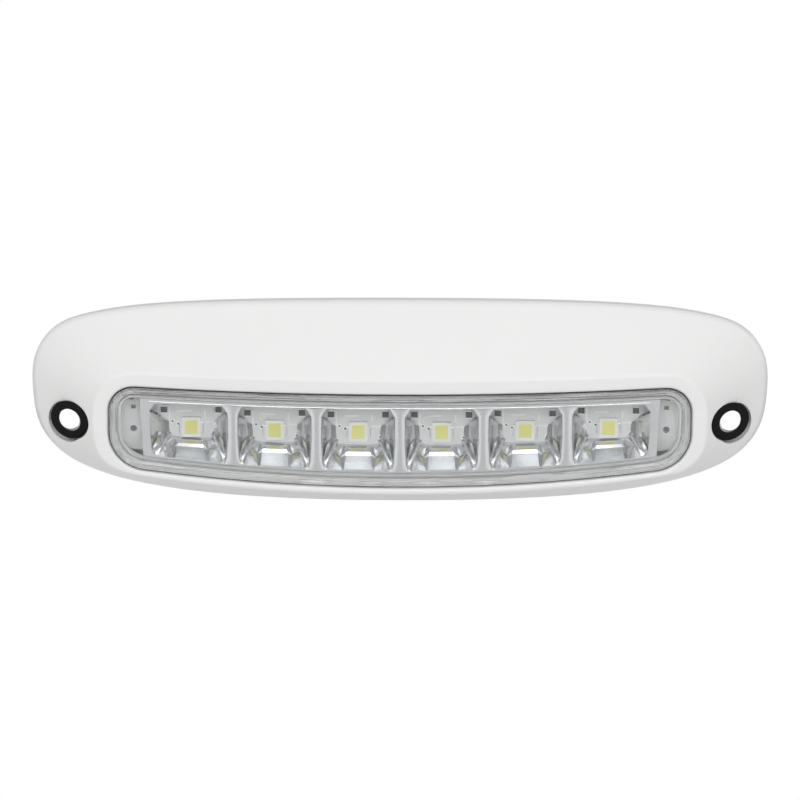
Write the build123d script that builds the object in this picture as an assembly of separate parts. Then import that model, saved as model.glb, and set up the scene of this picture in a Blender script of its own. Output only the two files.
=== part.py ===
from build123d import *
from math import copysign, cos, radians, sin, sqrt, tan
import os

# Surface-mounted eyebrow light: a hooded white housing over six LEDs in a faceted reflector.
# Millimetres. +Z is up, the wall is the plane y = 0 and the light points along -Y.
# The origin is the centre of the back. "Depth" is the distance from the wall.

# ---------------------------------------------------------------- driving dimensions
# outline of the housing on the wall
LENGTH = 165.0
HEIGHT = 45.5
WIDEST_Z = 0.1 * HEIGHT           # the ends are widest a little above the middle
TOP_HANDLES = (0.903, 0.854)      # Bezier handles, as shares: along the top edge, up from the widest
BOTTOM_HANDLES = (0.915, 0.611)   # the same, along the bottom edge and down from the widest

# housing form
GASKET_THICKNESS = 1.0
SHOULDER_DEPTH = 9.0              # where the side wall turns into the hood, at z = 0
SHOULDER_TILT = 4.0               # degrees; the shoulder stands further out towards the top
SIDE_DRAFT = 0.2                  # the side wall leans in by this much
SHOULDER_RADIUS = 2.5
CREST_RADIUS = 1.1
BROW_WIDTH = 3.3                  # flat band between the lens recess and the crest of the hood
LIP_WIDTH = 1.2                   # the same band under the lens
WALL = 2.2
HOOD_DROP = 1.2                   # how far the inner skin lies behind the outer one
END_WALL = 1.8

# the front face leans forward, so it looks down a little
FACE_TILT = 15.0
FACE_DEPTH = 17.1                 # depth of the face at the middle of the lens
FACE_Z = 14.55 - HEIGHT / 2       # height of the middle of the lens, set from the bottom edge

# the smile-shaped lens recess, on the face
RECESS_HALF = LENGTH / 2 - 17.3   # set from the ends of the housing
RECESS_TOP = 10.05
RECESS_BOTTOM = -11.9
WELL_HALF = RECESS_HALF + 2.9     # half length of the sealed well that holds the electronics
TOP_ARC = 990.0                   # radius of the sagging upper edge
BOTTOM_ARC = 415.0                # radius of the rounder lower edge
TOP_CORNER = 5.7
BOTTOM_CORNER = 9.2
RECESS_ROUNDING = 0.7

# lens and seal
LENS_SETBACK = 0.3
LENS_THICKNESS = 2.0
LENS_CLEARANCE = 0.4
LENS_CHAMFER = 0.35
GROOVE_INSET = 0.8                # glue groove round the back of the lens
GROOVE_WIDTH = 0.35
GROOVE_DEPTH = 0.5
SEAL_THICKNESS = 0.7
SEAL_CLEARANCE = 0.1
LEDGE_WIDTH = 2.1                 # shelf that carries the lens
LEDGE_THICKNESS = 1.6
FRAME_WALL = 2.2
SKIRT_WALL = 0.7                  # locating rib behind the lens
SKIRT_DEPTH = 1.0
FIT = 0.2                         # clearance between moulded parts that slip together

# light engine
CELL_COUNT = 6
LED_RISE = -0.9                   # LED row from the middle of the lens, at x = 0
REFLECTOR_DEPTH = 6.1
REFLECTOR_SETBACK = 0.4           # gap between the lens and the front of the reflector
REFLECTOR_HALF = RECESS_HALF - 7.6
REFLECTOR_LEAN = 1.1              # the ends of the reflector lean in by this much, top and bottom
REFLECTOR_FLANGE = 1.0
CELL_PITCH = 2 * (REFLECTOR_HALF - 1.5) / CELL_COUNT
CUP_WALL = 0.8
BOARD_THICKNESS = 1.2
BOARD_MARGIN = 2.4                # the board is this much lower than the recess, above and below
BOARD_OVERHANG = 2.0              # the board reaches this far past the recess at each end
PAD_THICKNESS = 0.3
SPREADER_THICKNESS = 1.0
SPREADER_FLANGE = 2.6
PACKAGE_WIDTH = 4.2
PACKAGE_HEIGHT = 4.6
PACKAGE_THICKNESS = 0.75
PHOSPHOR_WIDTH = 2.8
PHOSPHOR_HEIGHT = 3.1
PHOSPHOR_DEPTH = 0.3
PHOSPHOR_PROUD = 0.1
RESISTOR_SIZE = (1.4, 1.7, 0.5)
DRIVER_SIZE = (3.0, 3.0, 0.9)
DIODE_SIZE = (2.6, 3.6, 1.0)
CHIP_SIZE = (1.0, 0.7, 0.5)

# board screws: two at the ends and two in ears of the spreader
BOARD_SCREW_X = RECESS_HALF + 0.4
EAR_SCREW_X = 1.5 * CELL_PITCH
EAR_SCREW_RISE = 12.5
BOARD_BOSS_RADIUS = 1.9
BOARD_SCREW_RADIUS = 0.9
BOARD_SCREW_BITE = 3.0
PAN_HEAD_RADIUS = 1.75
PAN_HEAD_HEIGHT = 1.0

# back cover
COVER_THICKNESS = 1.8
COVER_CLEARANCE = 0.3
COVER_SEAL_THICKNESS = 0.6
SEAT_WIDTH = 2.6
SEAT_THICKNESS = 1.4
COVER_STATIONS = (0.1, 0.3, 0.7, 0.9)   # screws, as shares of the way from top to bottom
COVER_SCREW_INSET = 3.0           # screws this far inside the wall of the well
COVER_SCREW_RADIUS = 1.25
COVER_SCREW_LENGTH = 5.1
COVER_BOSS_RADIUS = 2.2
COVER_BOSS_HEIGHT = 5.2
FLAT_HEAD_RADIUS = 2.3
FLAT_HEAD_HEIGHT = 1.1
PILOT_CLEARANCE = 0.15

# cable inlet
INLET_Z = HEIGHT / 2 - 13.75
CABLE_RADIUS = 2.8
BUSH_RADIUS = 4.2
BUSH_FLANGE = 5.6
BUSH_FLANGE_THICKNESS = 1.0
BUSH_LENGTH = 6.5

# screw holes for the wall, with rubber grommets in the sloping ends
HOLE_SPACING = LENGTH - 16.7
HOLE_Z = FACE_Z + 3.75
HOLE_RADIUS = 2.5
BOSS_RADIUS = 5.4
GROMMET_RADIUS = 4.65
GROMMET_BORE = 2.75
GROMMET_THICKNESS = 1.4
GROMMET_DISH = 0.6
GROMMET_EDGE = 0.25
GROMMET_SINK = 0.35               # below the hood, at its middle
GROMMET_TILT = 33.0               # degrees from the wall's normal
GROMMET_AIM = 35.0                # degrees below the horizontal, outwards
GROMMET_CLEARANCE = 0.1

# faceted cups: the share of the way from the board to the front, and points down the right side
# of the opening there, as shares of the room round the LED
CUP_SECTIONS = (
    (0.0, ((0.79, 0.79), (0.80, 0.43), (0.49, 0.13), (0.47, -0.20),
           (0.60, -0.26), (0.56, -0.35), (0.34, -0.37), (0.26, -0.39))),
    (0.12, ((0.80, 0.82), (0.83, 0.49), (0.66, 0.23), (0.64, -0.24),
            (0.63, -0.32), (0.57, -0.42), (0.36, -0.43), (0.27, -0.43))),
    (0.38, ((0.79, 0.86), (0.86, 0.59), (0.77, 0.19), (0.75, -0.33),
            (0.68, -0.45), (0.60, -0.53), (0.43, -0.67), (0.29, -0.53))),
    (0.44, ((0.79, 0.87), (0.86, 0.61), (0.78, 0.18), (0.76, -0.35),
            (0.70, -0.48), (0.61, -0.55), (0.44, -0.71), (0.30, -0.63))),
    (1.0, ((0.77, 0.915), (0.88, 0.73), (0.88, 0.13), (0.845, -0.71),
           (0.82, -0.87), (0.73, -0.945), (0.385, -0.95), (0.34, -0.93))),
)
CUP_OVERRUN = 0.05                # the cups cut this much past the board and the front, as a share
END_STRETCH = 0.12                # the end cups reach this much further out
FLANGE_LAP = 1.4                  # the reflector's flange laps this far behind the ledge

# board details
LOCATING_X = RECESS_HALF - 5.5    # locating holes at the ends of the board
LOCATING_RISE = -0.35
LOCATING_RADIUS = 0.75
EAR_RADIUS = 2.6
STIFFENER_HALF = 24.0
BOARD_TIP_GAP = 0.3
PACKAGE_CORNER = 0.3
RESISTOR_PLACES = ((-6.1, 4.05), (6.1, 4.05))   # from each LED
DRIVER_GAP = 2                    # which gaps between the cells hold which parts
DIODE_GAP = 4
CAPACITOR_PLACES = ((LOCATING_X + 0.4, 6.95), (LOCATING_X, 4.85))

# small details of the cover, bush, gasket and grommets
COVER_RIB_SHARES = (-0.62, -0.35, 0.35, 0.62)   # of the half length of the well
COVER_RIB_LENGTH = 12.0
COVER_RIB_HEIGHT = 1.6
BUSH_TIP_WALL = 0.7
GASKET_INSET = 0.4

# stiffening ribs inside the hood
RIB_CELLS = (-2.5, -0.8, 0.8, 2.5)   # places of the ribs, in cells from the middle
RIB_WALL = 1.4
RIB_REACH = 11.0                  # how far the ribs come down from the top
RIB_SETBACK = 4.0                 # they stop this far in front of the cover seat

STATIONS = 24                     # points on each half of a lofted section

# ---------------------------------------------------------------- derived levels and planes
WALL_PLANE = Plane.XZ             # local x, y, z are X, Z and the depth
LEAN = radians(FACE_TILT)
FACE = Plane(origin=(0, -FACE_DEPTH, FACE_Z), x_dir=(1, 0, 0), z_dir=(0, -cos(LEAN), -sin(LEAN)))

# levels above the face, so all are negative
LENS_FRONT = -LENS_SETBACK
LENS_BACK = LENS_FRONT - LENS_THICKNESS
SEAL_BACK = LENS_BACK - SEAL_THICKNESS
LEDGE_BACK = SEAL_BACK - LEDGE_THICKNESS
REFLECTOR_FRONT = LENS_BACK - REFLECTOR_SETBACK
BOARD_FRONT = REFLECTOR_FRONT - REFLECTOR_DEPTH
BOARD_BACK = BOARD_FRONT - BOARD_THICKNESS
PAD_BACK = BOARD_BACK - PAD_THICKNESS
SPREADER_BACK = PAD_BACK - SPREADER_THICKNESS

# depths from the wall
COVER_FRONT = GASKET_THICKNESS + COVER_THICKNESS
SEAT_DEPTH = COVER_FRONT + COVER_SEAL_THICKNESS

SKIRT_OUTER = LEDGE_WIDTH + FIT
SKIRT_INNER = SKIRT_OUTER + SKIRT_WALL
REFLECTOR_INSET = SKIRT_INNER + FIT / 2

CELL_X = [(i - (CELL_COUNT - 1) / 2) * CELL_PITCH for i in range(CELL_COUNT)]
BEYOND = 40.0                     # longer than anything it has to cut through


# ---------------------------------------------------------------- outlines
def outline_half(inset=0.0):
    """Right half of the housing's outline, from the top centre to the bottom centre."""
    top = HEIGHT / 2 - inset
    side = LENGTH / 2 - inset
    along, up = TOP_HANDLES[0] * LENGTH / 2, TOP_HANDLES[1] * (HEIGHT / 2 - WIDEST_Z)
    upper = Bezier((0, top), (along, top), (side, WIDEST_Z + up), (side, WIDEST_Z))
    along, down = BOTTOM_HANDLES[0] * LENGTH / 2, BOTTOM_HANDLES[1] * (HEIGHT / 2 + WIDEST_Z)
    lower = Bezier((side, WIDEST_Z), (side, WIDEST_Z - down), (along, -top), (0, -top))
    return Wire([upper, lower])


def arc_between(start, end, centre, radius):
    """The shorter arc about a centre."""
    middle = centre + ((start - centre) + (end - centre)).normalized() * radius
    return ThreePointArc(start, middle, end)


def smile_half(side_grow=0.0, top_grow=None, bottom_grow=None):
    """Right half of the lens recess, or of a larger or smaller parallel to it."""
    top_grow = side_grow if top_grow is None else top_grow
    bottom_grow = side_grow if bottom_grow is None else bottom_grow
    side = RECESS_HALF + side_grow
    top = Vector(0, RECESS_TOP + top_grow)
    bottom = Vector(0, RECESS_BOTTOM - bottom_grow)
    top_arc = TOP_ARC - top_grow
    bottom_arc = BOTTOM_ARC + bottom_grow
    top_corner = TOP_CORNER + top_grow
    bottom_corner = BOTTOM_CORNER + bottom_grow
    top_centre = top + Vector(0, top_arc)
    bottom_centre = bottom + Vector(0, bottom_arc)
    upper_x = side - top_corner
    lower_x = side - bottom_corner
    upper = Vector(upper_x, top_centre.Y - sqrt((top_arc + top_corner) ** 2 - upper_x**2))
    lower = Vector(lower_x, bottom_centre.Y - sqrt((bottom_arc - bottom_corner) ** 2 - lower_x**2))
    top_end = top_centre + (upper - top_centre).normalized() * top_arc
    bottom_end = bottom_centre + (lower - bottom_centre).normalized() * bottom_arc
    side_top = Vector(side, upper.Y)
    side_bottom = Vector(side, lower.Y)
    return Wire([
        arc_between(top, top_end, top_centre, top_arc),
        arc_between(top_end, side_top, upper, top_corner),
        Line(side_top, side_bottom),
        arc_between(side_bottom, bottom_end, lower, bottom_corner),
        arc_between(bottom_end, bottom, bottom_centre, bottom_arc),
    ])


def closed(half):
    """Face bounded by a half outline and its mirror image."""
    return make_face(half.edges() + mirror(half, Plane.YZ).edges())


def outline(inset=0.0):
    return closed(outline_half(inset))


def smile(side_grow=0.0, top_grow=None, bottom_grow=None):
    return closed(smile_half(side_grow, top_grow, bottom_grow))


def slab(sketch, plane, start, end):
    """Solid over a sketch, between two levels above a plane."""
    return extrude(plane.offset(start).location * sketch, amount=end - start, dir=plane.z_dir)


def rod(plane, x, y, radius, start, end):
    """Cylinder square to a plane, between two levels above it."""
    return slab(Pos(x, y) * Circle(radius), plane, start, end)


# ---------------------------------------------------------------- housing
def section(half, place):
    """Face of a lofted form: one smooth curve down each side, through evenly spaced stations."""
    step = half.length / STATIONS
    points = [half.position_at(i * step, PositionMode.LENGTH) for i in range(STATIONS + 1)]
    right = Spline([place(p) for p in points], tangents=[(1, 0, 0), (-1, 0, 0)])
    return make_face([right, mirror(right, Plane.YZ)])


def hood_form(inset=0.0, drop=0.0):
    """Closed form of the housing: rim, shoulder and crest, joined by two ruled skins."""
    slope = tan(radians(SHOULDER_TILT))
    rim = section(
        outline_half(inset),
        lambda p: Vector(p.X, -GASKET_THICKNESS, p.Y),
    )
    shoulder = section(
        outline_half(inset + SIDE_DRAFT),
        lambda p: Vector(p.X, drop - SHOULDER_DEPTH - p.Y * slope, p.Y),
    )
    crest = section(
        smile_half(BROW_WIDTH - inset, BROW_WIDTH - inset, LIP_WIDTH - inset),
        lambda p: FACE.from_local_coords(p) + Vector(0, drop, 0),
    )
    return loft([rim, shoulder, crest], ruled=True)


def rounded_form():
    """The outer form, with its soft crest and shoulder."""
    form = hood_form()
    form = fillet([e for e in form.edges() if on_face(e)], CREST_RADIUS)
    return fillet([e for e in form.edges() if on_shoulder(e)], SHOULDER_RADIUS)


def well(grow=0.0):
    """Opening at the back, between the end walls, that the cover closes."""
    return outline(WALL - grow) & Rectangle(2 * (WELL_HALF + grow), 2 * HEIGHT)


def cover_screw_places():
    half = outline_half(WALL + COVER_SCREW_INSET)
    right = [half.position_at(s * half.length, PositionMode.LENGTH) for s in COVER_STATIONS]
    return [(side * p.X, p.Y) for side in (-1, 1) for p in right]


def board_screw_places():
    """Each board screw's x and y on the face, and the level where its boss ends."""
    ends = [(side * BOARD_SCREW_X, 0.0, BOARD_FRONT) for side in (-1, 1)]
    ears = [(side * EAR_SCREW_X, EAR_SCREW_RISE, PAD_BACK) for side in (-1, 1)]
    return ends + ears


def hole_centres():
    return [side * HOLE_SPACING / 2 for side in (-1, 1)]


def grommet_plane(x):
    """Plane of a grommet's top: its bore, half way down, is centred on the screw hole."""
    tilt, aim = radians(GROMMET_TILT), radians(GROMMET_AIM)
    out = sin(tilt) * cos(aim)
    normal = Vector(copysign(out, x), -cos(tilt), -sin(tilt) * sin(aim))
    sight = Axis((x, -BEYOND, HOLE_Z), (0, 1, 0))
    on_hood = hood_form().find_intersection_points(sight)[0][0]
    bore_middle = (GROMMET_DISH + GROMMET_EDGE + GROMMET_THICKNESS) / 2
    sunk = (GROMMET_SINK + bore_middle) / cos(tilt)
    return Plane(origin=on_hood + Vector(0, sunk) + normal * bore_middle, z_dir=normal)


def on_face(edge):
    """Whether an edge lies on the flat face."""
    return all(abs(FACE.to_local_coords(edge @ share).Z) < 1e-3 for share in (0, 0.5, 1))


def on_shoulder(edge):
    """Whether an edge runs round the shoulder, where the side wall meets the hood."""
    slope = tan(radians(SHOULDER_TILT))
    points = [edge @ share for share in (0, 0.5, 1)]
    return all(abs(SHOULDER_DEPTH + p.Z * slope + p.Y) < 1e-3 for p in points)


def on_back(face):
    """Whether a face lies on the plane of the housing's rear rim."""
    return abs(face.center().Y + GASKET_THICKNESS) < 1e-4 and abs(face.normal_at().Y) > 0.999


def housing_insides():
    """Everything that stands in the hollow: lens frame, cover seat, end walls, bosses and ribs."""
    inside = slab(smile(FRAME_WALL), FACE, LEDGE_BACK, 0)
    seat = well(FIT) - well(-SEAT_WIDTH)
    inside += slab(seat, WALL_PLANE, SEAT_DEPTH, SEAT_DEPTH + SEAT_THICKNESS)
    for side in (-1, 1):
        wall = Pos(side * (WELL_HALF + END_WALL / 2), 0) * Rectangle(END_WALL, HEIGHT)
        inside += slab(wall, WALL_PLANE, 0, BEYOND)
    for x in hole_centres():
        inside += rod(WALL_PLANE, x, HOLE_Z, BOSS_RADIUS, 0, BEYOND)
    for cells in RIB_CELLS:
        rib = Pos(cells * CELL_PITCH, HEIGHT / 2) * Rectangle(RIB_WALL, 2 * RIB_REACH)
        inside += slab(rib, WALL_PLANE, SEAT_DEPTH + RIB_SETBACK, BEYOND)
    for x, z in cover_screw_places():
        top = SEAT_DEPTH + COVER_BOSS_HEIGHT
        inside += rod(WALL_PLANE, x, z, COVER_BOSS_RADIUS, SEAT_DEPTH, top)
        inside -= rod(WALL_PLANE, x, z, COVER_SCREW_RADIUS - PILOT_CLEARANCE, 0, top - WALL / 2)
    for x, y, level in board_screw_places():
        inside += rod(FACE, x, y, BOARD_BOSS_RADIUS, level, SEAL_BACK)
        inside -= rod(FACE, x, y, BOARD_SCREW_RADIUS - PILOT_CLEARANCE, level, level + BOARD_SCREW_BITE)
    return inside


def make_housing():
    outer = rounded_form()
    recess = slab(smile(), FACE, SEAL_BACK, CREST_RADIUS)
    for x in hole_centres():
        seat = grommet_plane(x)
        recess += rod(seat, 0, 0, GROMMET_RADIUS + GROMMET_CLEARANCE, -GROMMET_THICKNESS, WALL)
    outer -= recess
    round_rim = [e for e in outer.edges() if on_face(e) and e.geom_type in (GeomType.CIRCLE, GeomType.LINE)]
    outer = fillet(round_rim, RECESS_ROUNDING)
    core = hood_form(WALL, HOOD_DROP) - housing_insides()

    # the two skins meet only at the rear rim, so they are joined there by one flat face
    rear = [f for f in outer.faces() if on_back(f)][0]
    for footprint in filter(on_back, core.faces()):
        rear -= footprint
    skins = [f for f in outer.faces() + core.faces() if not on_back(f)]
    body = Solid(Shell(skins + list(rear.faces())))

    openings = slab(smile(-LEDGE_WIDTH), FACE, LEDGE_BACK - LEDGE_THICKNESS, LENS_BACK)
    for x in hole_centres():
        openings += rod(WALL_PLANE, x, HOLE_Z, HOLE_RADIUS, 0, BEYOND / 2)
    return body - openings


# ---------------------------------------------------------------- lens and seals
def make_lens():
    plate = slab(smile(-LENS_CLEARANCE), FACE, LENS_BACK, LENS_FRONT)
    front = max(plate.faces(), key=lambda f: f.center().dot(FACE.z_dir))
    plate = chamfer(front.edges(), LENS_CHAMFER)
    groove = smile(-LENS_CLEARANCE - GROOVE_INSET) - smile(-LENS_CLEARANCE - GROOVE_INSET - GROOVE_WIDTH)
    plate -= slab(groove, FACE, LENS_BACK, LENS_BACK + GROOVE_DEPTH)
    skirt = smile(-SKIRT_OUTER) - smile(-SKIRT_INNER)
    return plate + slab(skirt, FACE, LENS_BACK - SKIRT_DEPTH, LENS_BACK)


def make_lens_seal():
    ring = smile(-LENS_CLEARANCE - SEAL_CLEARANCE) - smile(SEAL_CLEARANCE - LEDGE_WIDTH)
    return slab(ring, FACE, SEAL_BACK, LENS_BACK)


def make_cover_seal():
    ring = well(-COVER_CLEARANCE) - well(SEAL_CLEARANCE - SEAT_WIDTH)
    for place in cover_screw_places():
        ring += Pos(*place) * Circle(COVER_BOSS_RADIUS - SEAL_CLEARANCE) & well(-COVER_CLEARANCE)
    for place in cover_screw_places():
        ring -= Pos(*place) * Circle(COVER_SCREW_RADIUS)
    return slab(ring, WALL_PLANE, COVER_FRONT, SEAT_DEPTH)


# ---------------------------------------------------------------- reflector
def led_rise(x):
    """Height of an LED on the face: the row follows the sag of the lens."""
    return LED_RISE + x * x / (2 * TOP_ARC)


def led_plane(x):
    """Plane over one LED, parallel to the face."""
    origin = FACE.from_local_coords(Vector(x, led_rise(x), 0))
    return Plane(origin=origin, x_dir=FACE.x_dir, z_dir=FACE.z_dir)


def room_below(x, led_x):
    """Distance on the face from the height of an LED down to the reflector's lower edge at x."""
    edge = RECESS_BOTTOM + BOTTOM_ARC - sqrt(BOTTOM_ARC**2 - x * x) + REFLECTOR_INSET
    return led_rise(led_x) - edge


def ring_of(shares, led_x, left, right, grow):
    """Polygon from the points down its right side and their mirror image, either side stretched."""
    above = RECESS_TOP - REFLECTOR_INSET - LED_RISE
    ring = []
    for x, y in [(x * right, y) for x, y in shares] + [(-x * left, y) for x, y in reversed(shares)]:
        x *= CELL_PITCH / 2
        y *= above if y > 0 else room_below(led_x + x, led_x)
        ring.append((x + copysign(grow, x), y + copysign(grow, y)))
    return make_face(Polyline(*ring, close=True))


def cup(x, grow=0.0, overrun=0.0):
    """Faceted cup over one LED, or with grow its outer skin; the end cups reach further out."""
    plane = led_plane(x)
    sections = []
    for share, points in CUP_SECTIONS:
        left = 1 + END_STRETCH * share if x == CELL_X[0] else 1
        right = 1 + END_STRETCH * share if x == CELL_X[-1] else 1
        past = {0.0: -overrun, 1.0: overrun}.get(share, 0.0)
        level = plane.offset(BOARD_FRONT + (share + past) * REFLECTOR_DEPTH)
        sections.append(level.location * ring_of(points, x, left, right, grow))
    return loft(sections, ruled=True)


def make_reflector():
    top, bottom = REFLECTOR_HALF + REFLECTOR_LEAN, REFLECTOR_HALF - REFLECTOR_LEAN
    high = RECESS_TOP - RECESS_BOTTOM
    window = make_face(Polyline((top, high), (bottom, -high), (-bottom, -high), (-top, high), close=True))
    lap = FLANGE_LAP - LEDGE_WIDTH
    body = slab(smile(-REFLECTOR_INSET) & window, FACE, LEDGE_BACK, REFLECTOR_FRONT)
    body += slab(smile(-REFLECTOR_INSET, lap, lap) & window, FACE, LEDGE_BACK - REFLECTOR_FLANGE, LEDGE_BACK)
    room = slab(smile(-REFLECTOR_INSET) & window, FACE, BOARD_FRONT, REFLECTOR_FRONT)
    for x in CELL_X:
        body += cup(x, CUP_WALL) & room
    for x in CELL_X:
        body -= cup(x, overrun=CUP_OVERRUN)
    return body


# ---------------------------------------------------------------- board and heat path
def board_outline(overhang=BOARD_OVERHANG):
    return smile(overhang, -BOARD_MARGIN, -BOARD_MARGIN)


def make_circuit_board():
    board = slab(board_outline(), FACE, BOARD_BACK, BOARD_FRONT)
    for side in (-1, 1):
        board -= rod(FACE, side * BOARD_SCREW_X, 0, BOARD_SCREW_RADIUS + FIT, -BEYOND, 0)
        board -= rod(FACE, side * LOCATING_X, LOCATING_RISE, LOCATING_RADIUS, -BEYOND, 0)
    return board


def make_thermal_pad():
    return slab(board_outline(-FRAME_WALL), FACE, PAD_BACK, BOARD_BACK)


def make_heat_spreader():
    plate = board_outline()
    for side in (-1, 1):
        ear = Pos(side * EAR_SCREW_X, EAR_SCREW_RISE) * Circle(EAR_RADIUS)
        stem = Pos(side * EAR_SCREW_X, EAR_SCREW_RISE / 2) * Rectangle(2 * EAR_RADIUS, EAR_SCREW_RISE)
        plate += ear + stem
    spreader = slab(plate, FACE, SPREADER_BACK, PAD_BACK)
    top = RECESS_TOP - BOARD_MARGIN
    stiffener = Pos(0, top - SPREADER_THICKNESS / 2) * Rectangle(2 * STIFFENER_HALF, SPREADER_THICKNESS)
    spreader += slab(stiffener, FACE, SPREADER_BACK - SPREADER_FLANGE, PAD_BACK)
    for x, y, level in board_screw_places():
        spreader -= rod(FACE, x, y, BOARD_SCREW_RADIUS + FIT, -BEYOND, 0)
    return spreader


def make_board_screws():
    screws = []
    for x, y, level in board_screw_places():
        tip = level + BOARD_SCREW_BITE - BOARD_TIP_GAP
        shank = rod(FACE, x, y, BOARD_SCREW_RADIUS - PILOT_CLEARANCE, SPREADER_BACK, tip)
        head = rod(FACE, x, y, PAN_HEAD_RADIUS, SPREADER_BACK - PAN_HEAD_HEIGHT, SPREADER_BACK)
        screws.append(shank + head)
    return Compound(children=screws)


# ---------------------------------------------------------------- electronics
def block(plane, x, y, size, start):
    width, height, thickness = size
    return slab(Pos(x, y) * Rectangle(width, height), plane, start, start + thickness)


def make_led_package(x):
    plane = led_plane(x)
    size = (PACKAGE_WIDTH, PACKAGE_HEIGHT, PACKAGE_THICKNESS)
    body = block(plane, 0, 0, size, BOARD_FRONT)
    upright = body.edges().filter_by(Axis(plane.origin, plane.z_dir))
    body = fillet(upright, PACKAGE_CORNER)
    pocket = (PHOSPHOR_WIDTH, PHOSPHOR_HEIGHT, BEYOND)
    return body - block(plane, 0, 0, pocket, BOARD_FRONT + PACKAGE_THICKNESS - PHOSPHOR_DEPTH)


def make_led_phosphor(x):
    size = (PHOSPHOR_WIDTH, PHOSPHOR_HEIGHT, PHOSPHOR_DEPTH + PHOSPHOR_PROUD)
    return block(led_plane(x), 0, 0, size, BOARD_FRONT + PACKAGE_THICKNESS - PHOSPHOR_DEPTH)


def between_cells(i):
    """Middle of the gap between cells i and i + 1."""
    return (CELL_X[i] + CELL_X[i + 1]) / 2


def make_resistors():
    """A pair of chips at the upper corners of each cell."""
    chips = []
    for led_x in CELL_X:
        for x, y in RESISTOR_PLACES:
            chips.append(block(led_plane(led_x), x, y, RESISTOR_SIZE, BOARD_FRONT))
    return Compound(children=chips)


def make_driver_chip():
    return block(led_plane(between_cells(DRIVER_GAP)), 0, 0, DRIVER_SIZE, BOARD_FRONT)


def make_protection_diode():
    return block(led_plane(between_cells(DIODE_GAP)), 0, 0, DIODE_SIZE, BOARD_FRONT)


def make_capacitors():
    spots = [(side * x, y) for side in (-1, 1) for x, y in CAPACITOR_PLACES]
    return Compound(children=[block(FACE, x, y, CHIP_SIZE, BOARD_FRONT) for x, y in spots])


# ---------------------------------------------------------------- back of the housing
def make_back_cover():
    cover = slab(well(-COVER_CLEARANCE), WALL_PLANE, GASKET_THICKNESS, COVER_FRONT)
    for x, z in cover_screw_places():
        hole = Pos(x, z) * Circle(COVER_SCREW_RADIUS + FIT)
        cover -= slab(hole, WALL_PLANE, 0, COVER_FRONT + 1)
        cover -= flat_head(x, z, FIT)
    for share in COVER_RIB_SHARES:
        rib = Pos(share * WELL_HALF, INLET_Z) * Rectangle(RIB_WALL, COVER_RIB_LENGTH)
        cover += slab(rib, WALL_PLANE, COVER_FRONT, COVER_FRONT + COVER_RIB_HEIGHT)
    return cover - rod(WALL_PLANE, 0, INLET_Z, BUSH_RADIUS, 0, BEYOND)


def flat_head(x, z, grow=0.0):
    """Countersunk head, flush with the rear of the cover."""
    rear = WALL_PLANE.offset(GASKET_THICKNESS).location * Pos(x, z) * Circle(FLAT_HEAD_RADIUS + grow)
    neck = WALL_PLANE.offset(GASKET_THICKNESS + FLAT_HEAD_HEIGHT).location * Pos(x, z)
    return loft([rear, neck * Circle(COVER_SCREW_RADIUS - PILOT_CLEARANCE + grow)])


def make_back_cover_screws():
    radius = COVER_SCREW_RADIUS - PILOT_CLEARANCE
    screws = []
    for x, z in cover_screw_places():
        shank = rod(WALL_PLANE, x, z, radius, GASKET_THICKNESS, GASKET_THICKNESS + COVER_SCREW_LENGTH)
        screws.append(shank + flat_head(x, z))
    return Compound(children=screws)


def make_cable_bush():
    """Rubber bush in the back cover, with a lip on each side of it."""
    inner = COVER_FRONT + BUSH_FLANGE_THICKNESS
    end = GASKET_THICKNESS + BUSH_LENGTH
    bush = rod(WALL_PLANE, 0, INLET_Z, BUSH_RADIUS, GASKET_THICKNESS, inner)
    bush += rod(WALL_PLANE, 0, INLET_Z, BUSH_FLANGE, COVER_FRONT, inner)
    nose = WALL_PLANE.offset(inner).location * Pos(0, INLET_Z) * Circle(BUSH_RADIUS)
    tip = WALL_PLANE.offset(end).location * Pos(0, INLET_Z) * Circle(CABLE_RADIUS + BUSH_TIP_WALL)
    bush += loft([nose, tip])
    return bush - rod(WALL_PLANE, 0, INLET_Z, CABLE_RADIUS, 0, BEYOND)


def make_wall_gasket():
    gasket = slab(outline(GASKET_INSET), WALL_PLANE, 0, GASKET_THICKNESS)
    for x in hole_centres():
        gasket -= rod(WALL_PLANE, x, HOLE_Z, HOLE_RADIUS + FIT, -1, BEYOND)
    return gasket - rod(WALL_PLANE, 0, INLET_Z, BUSH_FLANGE, -1, BEYOND)


# ---------------------------------------------------------------- screw hole grommets
def make_grommet(x):
    """Dished rubber ring let into the slope of the hood."""
    rim = GROMMET_RADIUS
    profile = Polyline(
        (GROMMET_BORE, -GROMMET_THICKNESS),
        (rim, -GROMMET_THICKNESS),
        (rim, -GROMMET_EDGE),
        (rim - GROMMET_EDGE, 0),
        (rim - 2 * GROMMET_EDGE, 0),
        (GROMMET_BORE + GROMMET_EDGE, -GROMMET_DISH),
        (GROMMET_BORE, -GROMMET_DISH - GROMMET_EDGE),
        close=True,
    )
    ring = revolve(Plane.XZ * make_face(profile), Axis.Z)
    return grommet_plane(x).location * ring


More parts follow.
